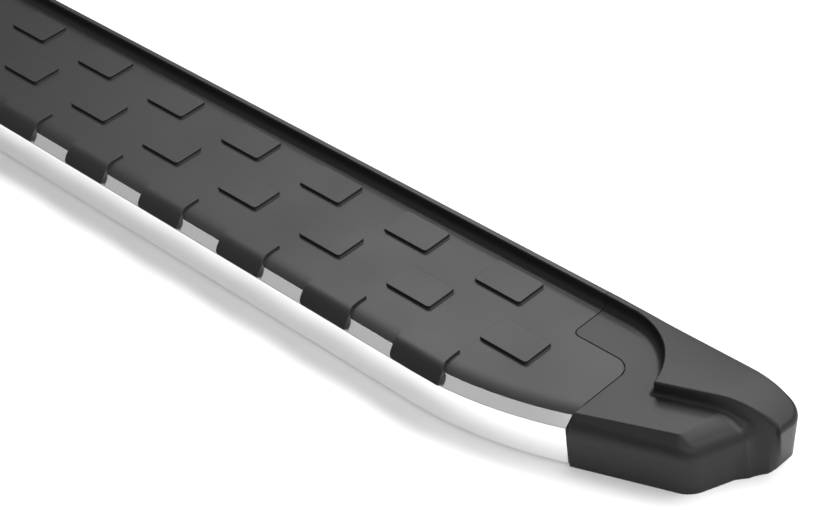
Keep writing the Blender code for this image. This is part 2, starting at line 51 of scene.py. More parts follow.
LIP_PROUD = 0.0012  # how far the tabs' lips stand out from the bright face
DEPTH = WIDTH - LIP_PROUD  # bright face to rear edge
GAP = 0.0003  # clearance between touching pieces
FACE_Y = -WIDTH / 2 + LIP_PROUD

# Tread pattern
PITCH = 0.1143
COLUMNS = 11  # pads in the rear row; the second row has one more
PAD_LENGTH = 0.0543
PAD_DEPTH = 0.0321
PAD_RISE = 0.0031
PAD_CORNER = 0.0030
PAD_COVE = 0.0005  # radius at the foot of its walls
PAD_EDGE = 0.0004
PAD_ROOT = 0.0012  # how deep it is sunk into the tread
REAR_ROW_U = 0.1262
SECOND_ROW_U = 0.0737
TAB_RISE = 0.0026
TAB_REAR_U = 0.0353
TAB_ROLL_U = 0.0186  # where the tab starts to roll down over the trim
TAB_ROLL = 0.0255
TAB_TURN = math.radians(38)
TAB_LIP_Z = TREAD_Z - 0.0072
TAB_FOOT_U = 0.0023  # where the tab's underside meets the trim's facet
TAB_LEFT = ((-0.0012, -0.0172), (-0.0006, -0.0196), (0.0006, -0.0208), (0.0030, -0.0216),
            (0.0097, -0.0235), (0.0160, -0.0248))  # the tab's left edge, as (u, x)
TAB_RIGHT = ((-0.0012, 0.0385), (0.0030, 0.0380), (0.0090, 0.0355), (0.0140, 0.0325), (0.0200, 0.0297))
TAB_FOOT = ((-0.0012, 0.0397), (0.0030, 0.0395), (0.0090, 0.0372), (0.0140, 0.0340), (0.0210, 0.0302),
            (0.0353, 0.0299))  # the foot of its right side
TAB_EDGE = 0.0004
LIP_EDGE = 0.0003
TAB_AIR = 0.0005  # between the tab's underside and the trim's facet
TAB_SINK = 0.0012  # how deep the tab's root is sunk into the tread

# Outer trim
BEND_X = 0.5715  # where the trim starts to bend towards the vehicle
BEND_RADIUS = 0.4136
TRIM_SHEET = 0.0015
TRIM_FOOT = 0.0031  # height of the trim's bottom edge
FACET_DROP = 0.0088  # tread surface down to the bottom of the bevelled facet
FACET_FOOT_U = 0.0014
FLANGE_U = 0.0240
RETURN_U = 0.0185

# Tread cover
COVER_THICK = 0.0032
COVER_EDGE_U = 0.0093
ROLL_U = 0.0270  # where the tread starts to roll down to its front edge
ROLL_DROP = 0.0026
RIM_EDGE = 0.0012
SKIRT_EDGE = 0.0006
RIM_INNER_U = 0.1543
RIM_FILLET = 0.0082  # softer than the CAD's
SKIRT_U = 0.1560
SKIRT_FOOT = 0.0170
HOOK_U = 0.1510
BEAM_FLOOR = 0.0200

# End caps
SEAM_X = 0.7250  # where the trim, the beam and the cover end
SEAM_U = 0.0500  # a place along the straight seam, behind the front edge
TONGUE_X = 0.6584  # inner end of the cap's tongue and rim
TONGUE_U = 0.1117
TONGUE_INNER_RADIUS = 0.007
TONGUE_OUTER_RADIUS = 0.016
ARC_CENTRE = (0.6901, 0.0819)
ARC_RADIUS = RIM_INNER_U - ARC_CENTRE[1]
ARC_END = math.radians(11.8)
CAP_WALL = 0.0032
CAP_FLANGE = 0.0031
CAP_FLANGE_X = (0.6980, 0.7373)  # the flange that reaches under the beam
CAP_FLANGE_U = (0.0620, 0.1480)
CAP_SCREW_X = 0.7110
CAP_SCREW_U = (0.0690, 0.0950, 0.1400)
CAP_HOLE = 0.0024
CREST_X = 0.8120  # where the cap's top starts to roll down
CREST_SPREAD = 0.150
CROWN_U = 0.1120  # where the cap's top starts to fall away to the rear
CROWN_SPREAD = 1.6
WALL_SLOPE = math.tan(math.radians(20.1))  # the cap's front wall, in plan
KNEE_DROP = 0.0096  # tread surface down to the knee where the cap's slope meets its wall
KNEE_RADIUS = 0.0065
SHELF_START_U = 0.0401  # the shelf's front edge at the seam
SHELF_TIP = (0.8065, 0.0733)
WALL_TIP = (0.8235, 0.0656)
WALL_TIP_RADIUS = 0.025
NOSE_FOOT = (0.8429, 0.1114)  # where the front wall meets the raised body, at the ground
FRONT_END_U = 0.1350  # the front body ends here, inside the raised one
LEAD = 0.030  # how far before the seam the outlines start
SHELF_EDGE = (0.0006, 0.0034)  # radius along the shelf's edge, and what it gains round the tip
STRIP_WIDTH = 0.0085  # a slightly raised strip along the step's foot
STRIP_RISE = 0.0006
CAP_EDGE = (0.0010, 0.0030)  # radius along the raised top's edge, and what it gains at the end
STEP_FILLET_LOSS = 0.0040  # how much tighter the rim's fillet is along the shelf
NOSE_FILLET_GAIN = 0.0065
SEAM_EDGE = 0.0005  # radius of the moulded edges along the seam
SEAM_CRACK = 0.0001  # what stays open between the cap's tongue and the cover
CAP_GRID = 0.0008  # cell size of the field that the caps are meshed from


# Outlines

def arc(centre, radius, start, end, steps):
    """Points along an arc, both ends included; angles in radians."""
    points = []
    for step in range(steps + 1):
        angle = start + (end - start) * step / steps
        points.append((centre[0] + radius * math.cos(angle), centre[1] + radius * math.sin(angle)))
    return points


def rounded(corners, steps=8):
    """A closed outline from (x, u, radius) corners; a zero radius stays one sharp point."""
    points = []
    count = len(corners)
    for index, (x, u, radius) in enumerate(corners):
        here = Vector((x, u))
        if radius == 0:
            points.append((x, u))
            continue
        before = (Vector(corners[index - 1][:2]) - here).normalized()
        after = (Vector(corners[(index + 1) % count][:2]) - here).normalized()
        half = before.angle(after) / 2
        reach = radius / math.tan(half)
        centre = here + (before + after).normalized() * radius / math.sin(half)
        first = here + before * reach - centre
        last = here + after * reach - centre
        start = math.atan2(first.y, first.x)
        turn = (math.atan2(last.y, last.x) - start + math.pi) % (2 * math.pi) - math.pi
        points += arc(centre, radius, start, start + turn, steps)
    return points


def front_line(offset, end_x, steps=24):
    """The trim's plan line moved in by offset, from -end_x to end_x, with its bends as arcs."""
    radius = BEND_RADIUS - offset
    angle = math.asin((end_x - BEND_X) / radius)
    right = arc((BEND_X, BEND_RADIUS), radius, -math.pi / 2, -math.pi / 2 + angle, steps)
    left = [(-x, u) for x, u in reversed(right)]
    return left + right


def smooth_step(low, high, value):
    """0 below low, 1 above high, and smooth between; works on arrays."""
    share = np.clip((value - low) / (high - low), 0.0, 1.0)
    return share * share * (3 - 2 * share)


# Solids

SHARP = math.radians(32)  # corners sharper than this stay sharp
OVERLAP = 0.00002  # keeps joined faces from lying in one plane


def piece(name, mesh, slot, body, nodes):
    """A visible object for CAD nodes: it rides on a body and takes its finish from a slot."""
    made = bpy.data.objects.new(name, mesh)
    bpy.context.scene.collection.objects.link(made)
    mesh.materials.append(FINISH[slot])
    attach(made, body)
    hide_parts(*nodes)
    return made


def flatten(made):
    """Keep the broad faces flat up to their rounded edges."""
    change = made.modifiers.new("normals", "WEIGHTED_NORMAL")
    change.keep_sharp = True


def close(shape, mesh):
    """Weld a bmesh, turn its faces outwards and store it with smooth faces and sharp corners."""
    bmesh.ops.remove_doubles(shape, verts=shape.verts, dist=1e-6)
    bmesh.ops.recalc_face_normals(shape, faces=shape.faces)
    shape.to_mesh(mesh)
    shape.free()
    mesh.shade_smooth()
    mesh.set_sharp_from_angle(angle=SHARP)
    return mesh


def loft(shape, rings):
    """Skin rings of equally many (x, u, z) points into a bmesh, with end faces."""
    loops = [[shape.verts.new((x, FACE_Y + u, z)) for x, u, z in ring] for ring in rings]
    count = len(loops[0])
    for lower, upper in zip(loops, loops[1:]):
        for index in range(count):
            follow = (index + 1) % count
            shape.faces.new((lower[index], lower[follow], upper[follow], upper[index]))
    shape.faces.new(loops[0])
    shape.faces.new(loops[-1])


def lofted(name, rings):
    """A mesh of one closed loft."""
    shape = bmesh.new()
    loft(shape, rings)
    return close(shape, bpy.data.meshes.new(name))


def section_rings(section, places):
    """A (u, z) section repeated at each x in places."""
    return [[(x, u, z) for u, z in section] for x in places]


def combine(mesh, helpers, operation):
    """The mesh after joining or cutting each helper mesh in turn."""
    base = bpy.data.objects.new("base", mesh)
    bpy.context.scene.collection.objects.link(base)
    tools = []
    for helper in helpers:
        tool = bpy.data.objects.new("tool", helper)
        bpy.context.scene.collection.objects.link(tool)
        change = base.modifiers.new("join", "BOOLEAN")
        change.operation = operation
        change.solver = "EXACT"
        change.object = tool
        tools.append(tool)
    bpy.context.view_layer.update()
    seen = base.evaluated_get(bpy.context.evaluated_depsgraph_get())
    result = bpy.data.meshes.new_from_object(seen)
    for spent in [base, *tools]:
        bpy.data.objects.remove(spent, do_unlink=True)
    shape = bmesh.new()
    shape.from_mesh(result)
    return close(shape, result)


# Materials

PLASTIC_DARK = (0.010, 0.010, 0.010)
PLASTIC_LIGHT = (0.013, 0.013, 0.013)
# lighter colour along edges and coves: partly rubbing wear, partly a painted highlight
PLASTIC_WORN_AND_GLINT = (0.055, 0.055, 0.055)
PLASTIC_SPREAD = 0.10  # how far the plastic's roughness varies
WEAR_AND_GLINT_RADIUS = 0.0009
WEAR_AND_GLINT_LIMITS = (0.995, 0.80)  # likeness to the rounded normal where the lighter edge starts and is full; partly rubbing wear, partly a painted highlight
ALONG_X = (0.02, 1.0, 1.0)  # a grain drawn out along the board


def new_material(name, roughness, metallic):
    """A Principled material and the node tools to build on it."""
    made = bpy.data.materials.new(name)
    made.use_nodes = True
    shader = made.node_tree.nodes["Principled BSDF"]
    shader.inputs["Roughness"].default_value = roughness
    shader.inputs["Metallic"].default_value = metallic
    return made, made.node_tree, shader


def noise(tree, scale, detail, stretch=(1, 1, 1)):
    """A noise texture in object space, stretched along the axes."""
    place = tree.nodes.new("ShaderNodeTexCoord")
    spread = tree.nodes.new("ShaderNodeMapping")
    spread.inputs["Scale"].default_value = stretch
    made = tree.nodes.new("ShaderNodeTexNoise")
    made.inputs["Scale"].default_value = scale
    made.inputs["Detail"].default_value = detail
    tree.links.new(place.outputs["Object"], spread.inputs["Vector"])
    tree.links.new(spread.outputs["Vector"], made.inputs["Vector"])
    return made.outputs["Fac"]


def ramp(tree, value, low, high):
    """A straight map from a 0-1 value to low-high."""
    made = tree.nodes.new("ShaderNodeMapRange")
    made.inputs["To Min"].default_value = low
    made.inputs["To Max"].default_value = high
    tree.links.new(value, made.inputs["Value"])
    return made.outputs["Result"]


def tint(tree, value, dark, light):
    """A colour between two by a 0-1 value."""
    made = tree.nodes.new("ShaderNodeMix")
    made.data_type = "RGBA"
    made.inputs["A"].default_value = (*dark, 1.0)
    made.inputs["B"].default_value = (*light, 1.0)
    tree.links.new(value, made.inputs["Factor"])
    return made.outputs["Result"]


def edge_wear_and_glint(tree):
    """How far a point lies on an edge or cove, from 0 to 1, broken up by noise; it lightens the colour partly
    as rubbing wear and partly as a painted highlight.
    """
    rounded_normal = tree.nodes.new("ShaderNodeBevel")
    rounded_normal.samples = 4
    rounded_normal.inputs["Radius"].default_value = WEAR_AND_GLINT_RADIUS
    true_normal = tree.nodes.new("ShaderNodeNewGeometry")
    likeness = tree.nodes.new("ShaderNodeVectorMath")
    likeness.operation = "DOT_PRODUCT"
    tree.links.new(rounded_normal.outputs["Normal"], likeness.inputs[0])
    tree.links.new(true_normal.outputs["Normal"], likeness.inputs[1])
    edge = tree.nodes.new("ShaderNodeMapRange")
    edge.inputs["From Min"].default_value = WEAR_AND_GLINT_LIMITS[0]
    edge.inputs["From Max"].default_value = WEAR_AND_GLINT_LIMITS[1]
    tree.links.new(likeness.outputs["Value"], edge.inputs["Value"])
    # painted highlight along edges and coves, mixed with rubbing wear
    rubbed_and_glinting = tree.nodes.new("ShaderNodeMath")
    rubbed_and_glinting.operation = "MULTIPLY"
    tree.links.new(edge.outputs["Result"], rubbed_and_glinting.inputs[0])
    tree.links.new(noise(tree, 90.0, 3.0), rubbed_and_glinting.inputs[1])
    return rubbed_and_glinting.outputs["Value"]


def worn_and_glinting(tree, edge, colour, worn_and_glint_colour):
    """The colour, turned towards a lighter one along edges: partly rubbing wear, partly a painted highlight.
    """
    made = tree.nodes.new("ShaderNodeMix")
    made.data_type = "RGBA"
    made.inputs["B"].default_value = (*worn_and_glint_colour, 1.0)
    tree.links.new(colour, made.inputs["A"])
    tree.links.new(edge, made.inputs["Factor"])
    return made.outputs["Result"]


def bump(tree, value, shader, strength, distance):
    """A height map on the shader's normal."""
    made = tree.nodes.new("ShaderNodeBump")
    made.inputs["Strength"].default_value = strength
    made.inputs["Distance"].default_value = distance
    tree.links.new(value, made.inputs["Height"])
    tree.links.new(made.outputs["Normal"], shader.inputs["Normal"])


def plastic(name, roughness, gloss):
    """Moulded satin plastic: a fine spark-eroded grain, slow cloudy variation, and edges lightened partly as
    rubbing wear and partly as a painted highlight.
    """
    made, tree, shader = new_material(name, roughness, 0.0)
    cloud = noise(tree, 9.0, 5.0)
    # painted highlight along edges and coves, mixed with rubbing wear
    colour = worn_and_glinting(tree, edge_wear_and_glint(tree), tint(tree, cloud, PLASTIC_DARK, PLASTIC_LIGHT), PLASTIC_WORN_AND_GLINT)
    tree.links.new(colour, shader.inputs["Base Color"])
    varied = ramp(tree, cloud, roughness - PLASTIC_SPREAD, roughness + PLASTIC_SPREAD)
    tree.links.new(varied, shader.inputs["Roughness"])
    shader.inputs["Specular IOR Level"].default_value = gloss
    bump(tree, noise(tree, 1400.0, 2.0), shader, 0.10, 0.0002)
    return made


def metal(name, dark, light, metallic, roughness, spread, stretch, depth):
    """Metal with a grain stretched along one axis."""
    made, tree, shader = new_material(name, roughness, metallic)
    grain = noise(tree, 900.0, 3.0, stretch)
    cloud = noise(tree, 22.0, 3.0)
    tree.links.new(tint(tree, cloud, dark, light), shader.inputs["Base Color"])
    tree.links.new(ramp(tree, grain, roughness - spread, roughness + spread), shader.inputs["Roughness"])
    bump(tree, grain, shader, 0.10, depth)
    return made


FINISH = {
    "tread_plastic": plastic("tread_plastic", 0.40, 0.32),
    "cap_plastic": plastic("cap_plastic", 0.41, 0.27),
    "bright_trim": metal("bright_trim", (0.89, 0.89, 0.89), (0.94, 0.94, 0.94), 0.94, 0.20, 0.04,
                         ALONG_X, 0.00008),
    "mill_aluminium": metal("mill_aluminium", (0.60, 0.61, 0.63), (0.70, 0.71, 0.72), 1.0, 0.42, 0.08,
                            ALONG_X, 0.00010),
    "zinc_steel": metal("zinc_steel", (0.55, 0.56, 0.58), (0.66, 0.67, 0.68), 1.0, 0.36, 0.08,
                        (1.0, 1.0, 1.0), 0.00005),
}


# Tread cover

def flat_outline(inset):
    """The plate's outline without its front edge, from the right seam round the notches to the left."""
    edge_x = SEAM_X - SEAM_CRACK - inset
    notch_x = TONGUE_X - SEAM_CRACK - inset
    notch_u = TONGUE_U - SEAM_CRACK - inset
    corners = [(edge_x, notch_u, TONGUE_OUTER_RADIUS - inset),
               (notch_x, notch_u, TONGUE_INNER_RADIUS + inset),
               (notch_x, SKIRT_U, 0), (0.0, SKIRT_U, 0), (0.0, SEAM_U, 0), (edge_x, SEAM_U, 0)]
    right = rounded(corners, 16)[:-3]
    return right + [(-x, u) for x, u in reversed(right)]


def plate_mesh():
    """The flat tread with its front edge rolled down to the trim."""
    fall = ROLL_U - COVER_EDGE_U
    radius = (fall ** 2 + ROLL_DROP ** 2) / (2 * ROLL_DROP)
    levels = [(COVER_EDGE_U, TREAD_Z - COVER_THICK, 0.0)]
    for step in range(9):
        offset = COVER_EDGE_U + fall * step / 8
        drop = radius - math.sqrt(radius ** 2 - (ROLL_U - offset) ** 2)
        lift = max(SEAM_EDGE - drop, 0.0) / SEAM_EDGE
        levels.append((offset, TREAD_Z - drop, SEAM_EDGE * (1 - math.sqrt(1 - lift ** 2))))
    rings = []
    for offset, z, inset in levels:
        outline = front_line(offset, SEAM_X - SEAM_CRACK - inset) + flat_outline(inset)
        rings.append([(x, u, z) for x, u in outline])
    return lofted("tread_plate", rings)


def rim_mesh():
    """The rear rim with its fillet, its rounded top and the skirt that hooks under the beam."""
    reach = TONGUE_X - SEAM_CRACK
    sunk = TREAD_Z - COVER_THICK + 0.0004
    fillet_z = TREAD_Z + RIM_FILLET + OVERLAP
    fillet = arc((RIM_INNER_U - RIM_FILLET, fillet_z), RIM_FILLET, -math.pi / 2, 0.0, 8)
    inner_top = arc((RIM_INNER_U + RIM_EDGE, RIM_Z - RIM_EDGE), RIM_EDGE, math.pi, math.pi / 2, 4)
    outer_top = arc((DEPTH - RIM_EDGE, RIM_Z - RIM_EDGE), RIM_EDGE, math.pi / 2, 0.0, 4)
    section = [(RIM_INNER_U - RIM_FILLET, sunk), *fillet, *inner_top, *outer_top,
               (DEPTH, SKIRT_FOOT + SKIRT_EDGE), (DEPTH - SKIRT_EDGE, SKIRT_FOOT), (HOOK_U, SKIRT_FOOT),
               (HOOK_U, BEAM_FLOOR - GAP), (SKIRT_U, BEAM_FLOOR - GAP), (SKIRT_U, sunk)]
    return lofted("rear_rim", section_rings(section, (-reach, reach)))


def pads_mesh():
    """All the raised pads: sharp walls with a small cove at the foot and a broken top edge."""
    turns = (0.0, math.pi / 6, math.pi / 3, math.pi / 2)
    levels = [(PAD_COVE, -PAD_ROOT)]
    levels += [(PAD_COVE - PAD_COVE * math.sin(angle), OVERLAP + PAD_COVE - PAD_COVE * math.cos(angle))
               for angle in turns]
    levels += [(-PAD_EDGE + PAD_EDGE * math.cos(angle), PAD_RISE - PAD_EDGE + PAD_EDGE * math.sin(angle))
               for angle in turns]
    shape = bmesh.new()
    for row_u, count in ((REAR_ROW_U, COLUMNS), (SECOND_ROW_U, COLUMNS + 1)):
        for index in range(count):
            x = (index - (count - 1) / 2) * PITCH
            rings = []
            for offset, rise in levels:
                half_x = PAD_LENGTH / 2 + offset
                half_u = PAD_DEPTH / 2 + offset
                radius = PAD_CORNER + offset
                corners = [(x + side_x * half_x, row_u + side_u * half_u, radius)
                           for side_x, side_u in ((-1, -1), (1, -1), (1, 1), (-1, 1))]
                rings.append([(px, pu, TREAD_Z + rise) for px, pu in rounded(corners, 6)])
            loft(shape, rings)
    return close(shape, bpy.data.meshes.new("pads"))


def tab_paths():
    """The tab's outer and inner lines in (u, z), point for point, from its rear edge to its lip."""
    rise = TREAD_Z + TAB_RISE
    end = TAB_ROLL_U - TAB_ROLL * math.sin(TAB_TURN)
    lip_u = -LIP_PROUD
    outer = [(TAB_REAR_U, rise), (0.5 * (TAB_REAR_U + TAB_ROLL_U), rise)]
    outer += arc((TAB_ROLL_U, rise - TAB_ROLL), TAB_ROLL, math.pi / 2, math.pi / 2 + TAB_TURN, 12)
    last_z = outer[-1][1]
    for share in (0.35, 0.60, 0.80, 0.93, 1.0):
        outer.append((end + (lip_u - end) * share, last_z + (TAB_LIP_Z - last_z) * share))
    outer.append((lip_u + LIP_EDGE, TAB_LIP_Z - LIP_EDGE))
    inner = []
    for u, z in outer:
        share = max(COVER_EDGE_U - u, 0.0) / (COVER_EDGE_U - lip_u)
        behind = max(u, COVER_EDGE_U) - share * (COVER_EDGE_U - TAB_FOOT_U)
        facet_z = TREAD_Z - FACET_DROP + behind - FACET_FOOT_U
        inner.append((behind, min(TREAD_Z - TAB_SINK, facet_z + TAB_AIR)))
    inner[-1] = (TAB_FOOT_U, TAB_LIP_Z - LIP_EDGE)
    return outer, inner


def tabs_mesh():
    """The tabs that fold over the trim: straight on the tread, leaning to the right over its edge."""
    outer, inner = tab_paths()
    side_turn = 0.12  # the share of the tab's thickness that its rounded edge takes
    foot_lean = 0.3  # how far the right side has leaned out at half its height
    shape = bmesh.new()
    for index in range(COLUMNS):
        centre = (index - (COLUMNS - 1) / 2) * PITCH
        rings = []
        for (outer_u, outer_z), (inner_u, inner_z) in zip(outer, inner):
            left = centre + np.interp(outer_u, *zip(*TAB_LEFT))
            right = centre + np.interp(outer_u, *zip(*TAB_RIGHT))
            foot = centre + np.interp(outer_u, *zip(*TAB_FOOT))
            sink_u = (inner_u - outer_u) * side_turn
            sink_z = (inner_z - outer_z) * side_turn
            half_u = (inner_u + outer_u) / 2
            half_z = (inner_z + outer_z) / 2
            rings.append([(left, inner_u, inner_z), (left, outer_u + sink_u, outer_z + sink_z),
                          (left + TAB_EDGE, outer_u, outer_z), (right - TAB_EDGE, outer_u, outer_z),
                          (right, outer_u + sink_u, outer_z + sink_z),
                          (right + foot_lean * (foot - right), half_u, half_z), (foot, inner_u, inner_z)])
        loft(shape, rings)
    return close(shape, bpy.data.meshes.new("tabs"))


def cover():
    """The tread cover, one moulding."""
    mesh = combine(plate_mesh(), [rim_mesh(), pads_mesh(), tabs_mesh()], "UNION")
    flatten(piece("tread_cover_moulding", mesh, "tread_plastic", "board", ["tread_cover"]))


# Outer trim

def trim_section():
    """The strip's (u, z) section with its bend radii."""
    top = TREAD_Z - COVER_THICK - GAP
    knee = TREAD_Z - FACET_DROP
    crest = TREAD_Z - 0.0016
    outer = [(FLANGE_U, top, 0), (0.0092, top, 0), (0.0086, crest, 0.0001), (0.0, knee - 0.0014, 0.0030),
             (0.0, TRIM_FOOT, 0.0014), (RETURN_U, TRIM_FOOT, 0), (RETURN_U, TRIM_FOOT + TRIM_SHEET, 0),
             (TRIM_SHEET, TRIM_FOOT + TRIM_SHEET, 0.0002), (TRIM_SHEET, knee - 0.0008, 0.0004),
             (0.0076, top - TRIM_SHEET, 0), (FLANGE_U, top - TRIM_SHEET, 0)]
    return rounded(outer, 5)


def trim():
    """The bright strip along the outer edge."""
    section = trim_section()
    rings = []
    end = SEAM_X - GAP
    for x, u in front_line(0.0, SEAM_X + 0.012, 30):
        past = math.copysign(max(abs(x) - BEND_X, 0.0), x)
        angle = math.asin(past / BEND_RADIUS)
        rings.append([(x - away * math.sin(angle), u + away * math.cos(angle), z) for away, z in section])
    mesh = lofted("trim_strip", rings)
    ends = []
    for sign in (-1, 1):
        shape = bmesh.new()
        bmesh.ops.create_cube(shape, size=0.1, matrix=Matrix.Translation((sign * (end + 0.05), -0.03, 0.03)))
        ends.append(close(shape, bpy.data.meshes.new("end")))
    mesh = combine(mesh, ends, "DIFFERENCE")
    flatten(piece("outer_trim_strip", mesh, "bright_trim", "board", ["outer_trim"]))


# End caps, meshed from a distance field

def outline_distance(points, x, u):
    """Signed distance to a closed outline, negative inside."""
    nearest = np.full(np.broadcast(x, u).shape, np.inf)
    inside = np.zeros(nearest.shape, bool)
    for (ax, au), (bx, bu) in zip(points, points[1:] + points[:1]):
        along_x = bx - ax
        along_u = bu - au
        share = np.clip(((x - ax) * along_x + (u - au) * along_u) / (along_x ** 2 + along_u ** 2), 0, 1)
        nearest = np.minimum(nearest, (x - ax - share * along_x) ** 2 + (u - au - share * along_u) ** 2)
        if au != bu:
            inside ^= ((au > u) != (bu > u)) & (x < ax + (u - au) / along_u * along_x)
    return np.where(inside, -1.0, 1.0) * np.sqrt(nearest)


def both(first, second, radius):
    """The part inside both fields, its outer corner rounded."""
    reach = np.hypot(np.maximum(radius + first, 0), np.maximum(radius + second, 0))
    return np.minimum(-radius, np.maximum(first, second)) + reach


def either(first, second, radius):
    """The part inside either field, its inner corner filleted."""
    reach = np.hypot(np.maximum(radius - first, 0), np.maximum(radius - second, 0))
    return np.maximum(radius, np.minimum(first, second)) - reach


def outlines_by_level(low, high, shares, x, u):
    """Distances to an outline that changes from low at share 0 to high at share 1, one layer a share."""
    layers = []
    for share in shares:
        outline = [(ax + (bx - ax) * share, au + (bu - au) * share) for (ax, au), (bx, bu) in zip(low, high)]
        layers.append(outline_distance(outline, x[:, :, 0], u[:, :, 0]))
    return np.stack(layers, axis=2)


def evened(field):
    """The field divided by its slope, so that it measures distance near its surface."""
    slopes = np.gradient(field, CAP_GRID)
    return field / np.maximum(np.sqrt(sum(slope ** 2 for slope in slopes)), 0.4)


def lobe_outlines():
    """The raised body's outlines at the ground and at rim height, point for point."""
    before = TONGUE_X - 0.020
    sweep = arc(ARC_CENTRE, ARC_RADIUS, math.pi / 2, ARC_END, 24)
    low_corner = rounded([(0.8561, 0.1387, 0), (0.8561, DEPTH, 0.009), (before, DEPTH, 0)], 8)
    high_corner = rounded([(0.8672, 0.1240, 0), (0.8692, DEPTH, 0.018), (before, DEPTH, 0)], 8)
    low = [(0.8150, 0.1040), (0.8429, 0.1114), (0.8492, 0.1169), (0.8549, 0.1244), (0.8562, 0.1325)]
    high = [(0.8153, 0.1179), (0.8359, 0.1253), (0.8451, 0.1281), (0.8531, 0.1294), (0.8601, 0.1279)]
    start = [(before, RIM_INNER_U)]
    return start + sweep + low + low_corner, start + sweep + high + high_corner


def lobe_field(x, u, z):
    """Distance to the raised body's walls, level by level."""
    low, high = lobe_outlines()
    return evened(outlines_by_level(low, high, z.ravel() / RIM_Z, x, u))


def front_field(x, u, z, lobe):
    """Distance to the front body: an upright wall, and a slope from its rounded knee up to the shelf."""
    back = SEAM_X + GAP
    start_u = BEND_RADIUS - math.sqrt(BEND_RADIUS ** 2 - (back - BEND_X) ** 2)
    before = back - LEAD
    shelf_slope = (SHELF_TIP[1] - SHELF_START_U) / (SHELF_TIP[0] - back)
    wall_outline = rounded([(before, start_u - LEAD * WALL_SLOPE, 0), (*WALL_TIP, WALL_TIP_RADIUS),
                            (*NOSE_FOOT, 0), (0.8360, FRONT_END_U, 0), (before, FRONT_END_U, 0)], 16)
    shelf_outline = rounded([(before, SHELF_START_U - LEAD * shelf_slope, 0), (*SHELF_TIP, 0.004),
                             (0.8228, 0.1095, 0), (0.8290, FRONT_END_U, 0), (before, FRONT_END_U, 0)], 16)
    wall = outline_distance(wall_outline, x[:, :, 0], u[:, :, 0])[:, :, None]
    shares = np.clip((TREAD_Z - z.ravel()) / KNEE_DROP, -0.5, 2.5)
    slope = evened(outlines_by_level(shelf_outline, wall_outline, shares, x, u))
    strip = np.clip(1 - lobe / STRIP_WIDTH, 0, 1) * smooth_step(0.764, 0.778, x)
    top = z - TREAD_Z - STRIP_RISE * strip
    topped = both(slope, top, SHELF_EDGE[0] + SHELF_EDGE[1] * smooth_step(0.806, 0.816, x))
    return both(topped, wall, KNEE_RADIUS)


def flange_field(x, u, z):
    """The flange that reaches under the beam, with its screw holes: negative inside."""
    top = BEAM_FLOOR - GAP
    across = np.maximum(np.maximum(CAP_FLANGE_X[0] - x, x - CAP_FLANGE_X[1]),
                        np.maximum(CAP_FLANGE_U[0] - u, u - CAP_FLANGE_U[1]))
    field = np.maximum(across, np.maximum(z - top, top - CAP_FLANGE - z))
    for hole_u in CAP_SCREW_U:
        field = np.maximum(field, CAP_HOLE - np.hypot(x - CAP_SCREW_X, u - hole_u))
    return field


def cap_field(x, u, z):
    """The right-hand cap's field: negative inside its walls."""
    back = SEAM_X + GAP
    sunk = TREAD_Z - COVER_THICK
    lobe = lobe_field(x, u, z)
    front = np.maximum(front_field(x, u, z, lobe), back - x)
    crown = smooth_step(0.665, 0.745, x) * np.maximum(u - CROWN_U, 0) ** 2 / CROWN_SPREAD
    crest = RIM_Z - np.maximum(x - CREST_X, 0) ** 2 / CREST_SPREAD - crown
    end = smooth_step(0.832, 0.862, x)
    raised = both(lobe, z - crest, CAP_EDGE[0] + CAP_EDGE[1] * end)
    far = back + 0.020
    tongue_outline = rounded([(TONGUE_X, TONGUE_U, TONGUE_INNER_RADIUS),
                              (back, TONGUE_U, TONGUE_OUTER_RADIUS), (back, SEAM_U, 0), (far, SEAM_U, 0),
                              (far, DEPTH, 0), (TONGUE_X, DEPTH, 0)], 10)
    tongue = outline_distance(tongue_outline, x[:, :, 0], u[:, :, 0])[:, :, None]
    low_body = np.minimum(front, both(tongue, z - TREAD_Z, SEAM_EDGE))
    fillet = RIM_FILLET - STEP_FILLET_LOSS * smooth_step(0.735, 0.768, x)
    fillet += NOSE_FILLET_GAIN * smooth_step(0.822, 0.845, x)
    outer = np.maximum(either(raised, low_body, fillet), np.maximum(TONGUE_X - x, u - DEPTH))
    over_beam = np.minimum(back - x, np.minimum(sunk - z, SKIRT_U - u))
    skirt_gap = np.minimum(back - x, SKIRT_FOOT - z)
    solid = np.maximum(np.maximum(outer, -z), np.maximum(over_beam, skirt_gap))
    hollow = np.maximum(outer, back - x) + CAP_WALL
    return np.minimum(np.maximum(solid, -hollow), flange_field(x, u, z))


